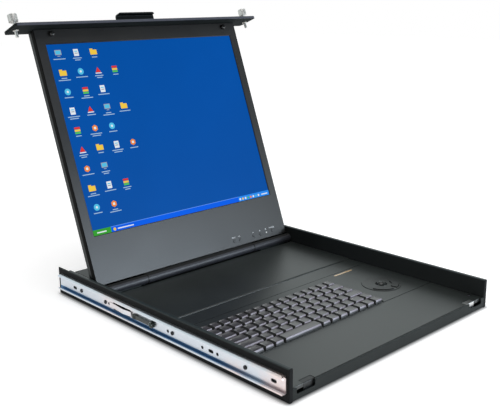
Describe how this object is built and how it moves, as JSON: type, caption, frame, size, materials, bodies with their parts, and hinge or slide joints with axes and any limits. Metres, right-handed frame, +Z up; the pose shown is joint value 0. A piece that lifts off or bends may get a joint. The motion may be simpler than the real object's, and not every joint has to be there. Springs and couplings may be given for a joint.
{
  "type": "rackmount lcd console drawer",
  "caption": "Shallow rackmount drawer with a keyboard, trackball and a flat screen that folds down into the tray behind a wide front panel with captive screws.",
  "frame": {"origin": "centre of the tray's underside, the plane that the drawer rests on", "axes": "+Z up, +Y from the drawer's front edge to its back, +X to the user's right"},
  "size_m": [0.4826, 0.5713, 0.4335],
  "materials": {
    "tray_paint": "satin powder coat",
    "deck_paint": "satin powder coat",
    "hinge_paint": "satin paint on a turned barrel",
    "zinc_plate": "bright zinc plate",
    "black_screw": "black oxide",
    "membrane": "printed film",
    "guide_plastic": "moulded, fine texture",
    "keycap": "moulded, fine texture",
    "pointer_plastic": "moulded, fine texture",
    "ball_resin": "polished resin",
    "pointer_button": "moulded, satin",
    "lens_amber": "tinted light pipe",
    "bright_steel": "bright nickel plate",
    "pin_steel": "ground and polished",
    "slide_zinc": "bright zinc plate",
    "lever_plastic": "moulded, satin",
    "bezel_paint": "fine satin paint",
    "cover_paint": "satin powder coat",
    "lcd_glass": "anti-glare film over a lit picture",
    "circuit_board": "green solder mask",
    "led_clear": "clear light pipe",
    "bumper_rubber": "matt",
    "panel_paint": "satin powder coat",
    "handle_black": "black anodised extrusion",
    "control_plastic": "moulded, satin",
    "nickel": "satin nickel plate",
    "spring_steel": "spring steel",
    "inlet_plastic": "moulded"
  },
  "bodies": {
    "tray": {"base_plate": "tray_paint", "side_channel_left": "tray_paint", "side_channel_right": "tray_paint", "palm_rest": "deck_paint", "keyboard_cover": "deck_paint", "rear_deck": "deck_paint", "deck_standoffs": "zinc_plate", "tray_screws": "black_screw", "keyboard_backplate": "zinc_plate", "keyboard_membrane": "membrane", "keyboard_guide_plate": "guide_plastic", "pointer_housing": "pointer_plastic", "indicator_lens": "lens_amber", "strike_plates": "bright_steel", "hinge_barrel_left": "hinge_paint", "hinge_barrel_right": "hinge_paint", "hinge_pin_left": "pin_steel", "hinge_pin_right": "pin_steel", "hinge_bracket_left": "zinc_plate", "hinge_bracket_right": "zinc_plate", "slide_member_left": "slide_zinc", "slide_member_right": "slide_zinc", "rear_housing": "cover_paint", "rear_io_panel": "cover_paint", "console_port": "nickel", "dc_inlet": "inlet_plastic", "control_board": "circuit_board"},
    "screen": {"hinge_centre_barrel": "hinge_paint", "lcd_bezel": "bezel_paint", "lcd_back_cover": "cover_paint", "lcd_panel": "lcd_glass", "lcd_frame": "zinc_plate", "lcd_board": "circuit_board", "power_led": "led_clear", "lid_bumpers": "bumper_rubber", "lid_screws": "black_screw", "rack_panel": "panel_paint", "pull_handle": "handle_black"},
    "key_row_bottom": {"key_row_bottom": "keycap"},
    "key_row_shift": {"key_row_shift": "keycap"},
    "key_row_caps": {"key_row_caps": "keycap"},
    "key_row_tab": {"key_row_tab": "keycap"},
    "key_row_number": {"key_row_number": "keycap"},
    "key_row_function": {"key_row_function": "keycap"},
    "space_bar": {"space_bar": "keycap"},
    "pointer_button_left": {"pointer_button_left": "pointer_button"},
    "pointer_button_right": {"pointer_button_right": "pointer_button"},
    "trackball": {"trackball": "ball_resin"},
    "control_button_menu": {"control_button_menu": "control_plastic"},
    "control_button_select": {"control_button_select": "control_plastic"},
    "control_button_minus": {"control_button_minus": "control_plastic"},
    "control_button_plus": {"control_button_plus": "control_plastic"},
    "control_button_power": {"control_button_power": "control_plastic"},
    "thumbscrew_clip_left": {"thumbscrew_clip_left": "spring_steel"},
    "thumbscrew_left": {"thumbscrew_left": "nickel"},
    "thumbscrew_clip_right": {"thumbscrew_clip_right": "spring_steel"},
    "thumbscrew_right": {"thumbscrew_right": "nickel"},
    "release_lever_left": {"release_lever_left": "lever_plastic"},
    "release_lever_right": {"release_lever_right": "lever_plastic"}
  },
  "joints": [
    {"name": "screen_hinge", "type": "hinge", "parent": "tray", "child": "screen", "pos_m": [0, 0.1535, 0.0238], "axis": [1, 0, 0], "range_deg": [-9.8, 110.2]},
    {"name": "key_row_bottom_press", "type": "slide", "parent": "tray", "child": "key_row_bottom", "axis": [0, 0, -1], "range_m": [0, 0.0025], "stiffness_N_per_m": 2200, "springref_m": -0.001},
    {"name": "key_row_shift_press", "type": "slide", "parent": "tray", "child": "key_row_shift", "axis": [0, 0, -1], "range_m": [0, 0.0025], "stiffness_N_per_m": 2860, "springref_m": -0.001},
    {"name": "key_row_caps_press", "type": "slide", "parent": "tray", "child": "key_row_caps", "axis": [0, 0, -1], "range_m": [0, 0.0025], "stiffness_N_per_m": 2860, "springref_m": -0.001},
    {"name": "key_row_tab_press", "type": "slide", "parent": "tray", "child": "key_row_tab", "axis": [0, 0, -1], "range_m": [0, 0.0025], "stiffness_N_per_m": 3080, "springref_m": -0.001},
    {"name": "key_row_number_press", "type": "slide", "parent": "tray", "child": "key_row_number", "axis": [0, 0, -1], "range_m": [0, 0.0025], "stiffness_N_per_m": 3080, "springref_m": -0.001},
    {"name": "key_row_function_press", "type": "slide", "parent": "tray", "child": "key_row_function", "axis": [0, 0, -1], "range_m": [0, 0.0025], "stiffness_N_per_m": 3520, "springref_m": -0.001},
    {"name": "space_bar_press", "type": "slide", "parent": "tray", "child": "space_bar", "axis": [0, 0, -1], "range_m": [0, 0.0025], "stiffness_N_per_m": 440, "springref_m": -0.001},
    {"name": "pointer_button_left_press", "type": "slide", "parent": "tray", "child": "pointer_button_left", "axis": [0, 0, -1], "range_m": [0, 0.0008], "stiffness_N_per_m": 700, "springref_m": -0.0006},
    {"name": "pointer_button_right_press", "type": "slide", "parent": "tray", "child": "pointer_button_right", "axis": [0, 0, -1], "range_m": [0, 0.0008], "stiffness_N_per_m": 700, "springref_m": -0.0006},
    {"name": "trackball_roll", "type": "hinge", "parent": "tray", "child": "trackball", "pos_m": [0.1448, -0.1089, 0.0122], "axis": [1, 0, 0], "continuous": true},
    {"name": "control_button_menu_press", "type": "slide", "parent": "screen", "child": "control_button_menu", "axis": [0, 0.9385, -0.3453], "range_m": [0, 0.0005], "stiffness_N_per_m": 1200, "springref_m": -0.0004},
    {"name": "control_button_select_press", "type": "slide", "parent": "screen", "child": "control_button_select", "axis": [0, 0.9385, -0.3453], "range_m": [0, 0.0005], "stiffness_N_per_m": 1200, "springref_m": -0.0004},
    {"name": "control_button_minus_press", "type": "slide", "parent": "screen", "child": "control_button_minus", "axis": [0, 0.9385, -0.3453], "range_m": [0, 0.0005], "stiffness_N_per_m": 1200, "springref_m": -0.0004},
    {"name": "control_button_plus_press", "type": "slide", "parent": "screen", "child": "control_button_plus", "axis": [0, 0.9385, -0.3453], "range_m": [0, 0.0005], "stiffness_N_per_m": 1200, "springref_m": -0.0004},
    {"name": "control_button_power_press", "type": "slide", "parent": "screen", "child": "control_button_power", "axis": [0, 0.9385, -0.3453], "range_m": [0, 0.0005], "stiffness_N_per_m": 1200, "springref_m": -0.0004},
    {"name": "thumbscrew_left_push", "type": "slide", "parent": "screen", "child": "thumbscrew_clip_left", "axis": [0, -0.3453, -0.9385], "range_m": [0, 0.006], "stiffness_N_per_m": 350, "springref_m": -0.002},
    {"name": "thumbscrew_left_turn", "type": "hinge", "parent": "thumbscrew_clip_left", "child": "thumbscrew_left", "pos_m": [-0.23255, 0.29295, 0.40862], "axis": [0, 0.3453, 0.9385], "continuous": true},
    {"name": "thumbscrew_right_push", "type": "slide", "parent": "screen", "child": "thumbscrew_clip_right", "axis": [0, -0.3453, -0.9385], "range_m": [0, 0.006], "stiffness_N_per_m": 350, "springref_m": -0.002},
    {"name": "thumbscrew_right_turn", "type": "hinge", "parent": "thumbscrew_clip_right", "child": "thumbscrew_right", "pos_m": [0.23255, 0.29295, 0.40862], "axis": [0, 0.3453, 0.9385], "continuous": true},
    {"name": "release_lever_left_turn", "type": "hinge", "parent": "tray", "child": "release_lever_left", "pos_m": [-0.2162, 0.005, 0.0218], "axis": [1, 0, 0], "range_deg": [-6, 6], "stiffness_Nm_per_rad": 0.6},
    {"name": "release_lever_right_turn", "type": "hinge", "parent": "tray", "child": "release_lever_right", "pos_m": [0.2162, 0.005, 0.0218], "axis": [1, 0, 0], "range_deg": [-6, 6], "stiffness_Nm_per_rad": 0.6}
  ]
}
